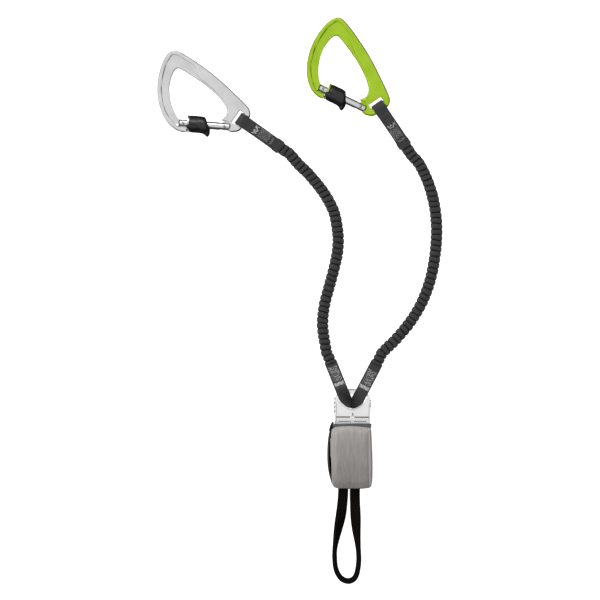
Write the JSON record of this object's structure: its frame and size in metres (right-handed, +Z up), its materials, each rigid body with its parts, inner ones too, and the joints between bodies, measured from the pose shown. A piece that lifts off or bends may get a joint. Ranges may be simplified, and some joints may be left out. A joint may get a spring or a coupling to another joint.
{
  "type": "via ferrata lanyard",
  "caption": "Via ferrata lanyard: elastic arms with locking carabiners, sewn into a tear-webbing energy absorber in a pouch with a tie-in loop.",
  "frame": {"origin": "middle of the pouch's flat underside, on the surface that the lanyard lies on", "axes": "+Y from the tie-in loop towards the carabiners, +Z up from the surface, +X to the right seen from above"},
  "size_m": [0.3421, 0.6795, 0.0266],
  "materials": {
    "bare_forged_aluminium": "satin",
    "green_anodised_aluminium": "satin",
    "polished_gate_bar": "polished",
    "rivet_steel": "polished",
    "black_moulded_plastic": "satin",
    "black_webbing": "matte",
    "rubber_core": "matte",
    "grey_thread": "matte",
    "white_tear_webbing": "matte",
    "grey_brown_pouch_fabric": "matte",
    "black_pouch_fabric": "matte",
    "dark_grey_binding": "matte"
  },
  "bodies": {
    "lanyard": {"absorber_eye": "white_tear_webbing", "tear_webbing_pack": "white_tear_webbing", "pouch_body": "black_pouch_fabric", "pouch_front_panel": "grey_brown_pouch_fabric", "pouch_mouth_binding": "dark_grey_binding", "tie_in_loop": "black_webbing", "silver_arm_carabiner_loop": "black_webbing", "silver_arm_upper_bar_tack": "grey_thread", "silver_arm_sleeve": "black_webbing", "silver_arm_elastic_core": "rubber_core", "silver_arm_absorber_loop": "black_webbing", "silver_arm_lower_bar_tack": "grey_thread", "green_arm_carabiner_loop": "black_webbing", "green_arm_upper_bar_tack": "grey_thread", "green_arm_sleeve": "black_webbing", "green_arm_elastic_core": "rubber_core", "green_arm_absorber_loop": "black_webbing", "green_arm_lower_bar_tack": "grey_thread"},
    "silver_connector": {"silver_carabiner_body": "bare_forged_aluminium", "silver_gate_hinge_rivet": "rivet_steel"},
    "silver_gate_arm": {"silver_gate": "polished_gate_bar", "silver_gate_latch_rivet": "rivet_steel", "silver_gate_spring": "rivet_steel"},
    "silver_plunger": {"silver_gate_plunger": "rivet_steel"},
    "silver_lock": {"silver_lock_sleeve": "black_moulded_plastic", "silver_sleeve_ring": "polished_gate_bar"},
    "green_connector": {"green_carabiner_body": "green_anodised_aluminium", "green_gate_hinge_rivet": "rivet_steel"},
    "green_gate_arm": {"green_gate": "polished_gate_bar", "green_gate_latch_rivet": "rivet_steel", "green_gate_spring": "rivet_steel"},
    "green_plunger": {"green_gate_plunger": "rivet_steel"},
    "green_lock": {"green_lock_sleeve": "black_moulded_plastic", "green_sleeve_ring": "green_anodised_aluminium"}
  },
  "joints": [
    {"name": "silver_connector_swing", "type": "hinge", "parent": "lanyard", "child": "silver_connector", "pos_m": [-0.13112, 0.40364, 0.0102], "axis": [0.5736, 0.8192, 0], "range_deg": [0, 100]},
    {"name": "silver_gate_hinge", "type": "hinge", "parent": "silver_connector", "child": "silver_gate_arm", "pos_m": [-0.1523, 0.3965, 0.0102], "axis": [0, 0, -1], "range_deg": [0, 28], "stiffness_Nm_per_rad": 0.3, "springref_deg": -57.3},
    {"name": "silver_plunger_slide", "type": "slide", "parent": "silver_gate_arm", "child": "silver_plunger", "axis": [-0.9969, 0.0785, 0], "range_m": [0, 0.0008]},
    {"name": "silver_lock_twist", "type": "hinge", "parent": "silver_gate_arm", "child": "silver_lock", "pos_m": [-0.1523, 0.3965, 0.0102], "axis": [-0.9969, 0.0785, 0], "range_deg": [0, 90]},
    {"name": "green_connector_swing", "type": "hinge", "parent": "lanyard", "child": "green_connector", "pos_m": [0.03324, 0.41948, 0.0102], "axis": [0.8241, 0.5664, 0], "range_deg": [0, 100]},
    {"name": "green_gate_hinge", "type": "hinge", "parent": "green_connector", "child": "green_gate_arm", "pos_m": [0.0109, 0.4202, 0.0102], "axis": [0, 0, -1], "range_deg": [0, 28], "stiffness_Nm_per_rad": 0.3, "springref_deg": -57.3},
    {"name": "green_plunger_slide", "type": "slide", "parent": "green_gate_arm", "child": "green_plunger", "axis": [-0.9063, 0.4226, 0], "range_m": [0, 0.0008]},
    {"name": "green_lock_twist", "type": "hinge", "parent": "green_gate_arm", "child": "green_lock", "pos_m": [0.0109, 0.4202, 0.0102], "axis": [-0.9063, 0.4226, 0], "range_deg": [0, 90]}
  ],
  "couplings": [
    {"joint": "silver_plunger_slide", "follows": "silver_gate_hinge", "m_per_rad": 0.001636},
    {"joint": "green_plunger_slide", "follows": "green_gate_hinge", "m_per_rad": 0.001636}
  ]
}
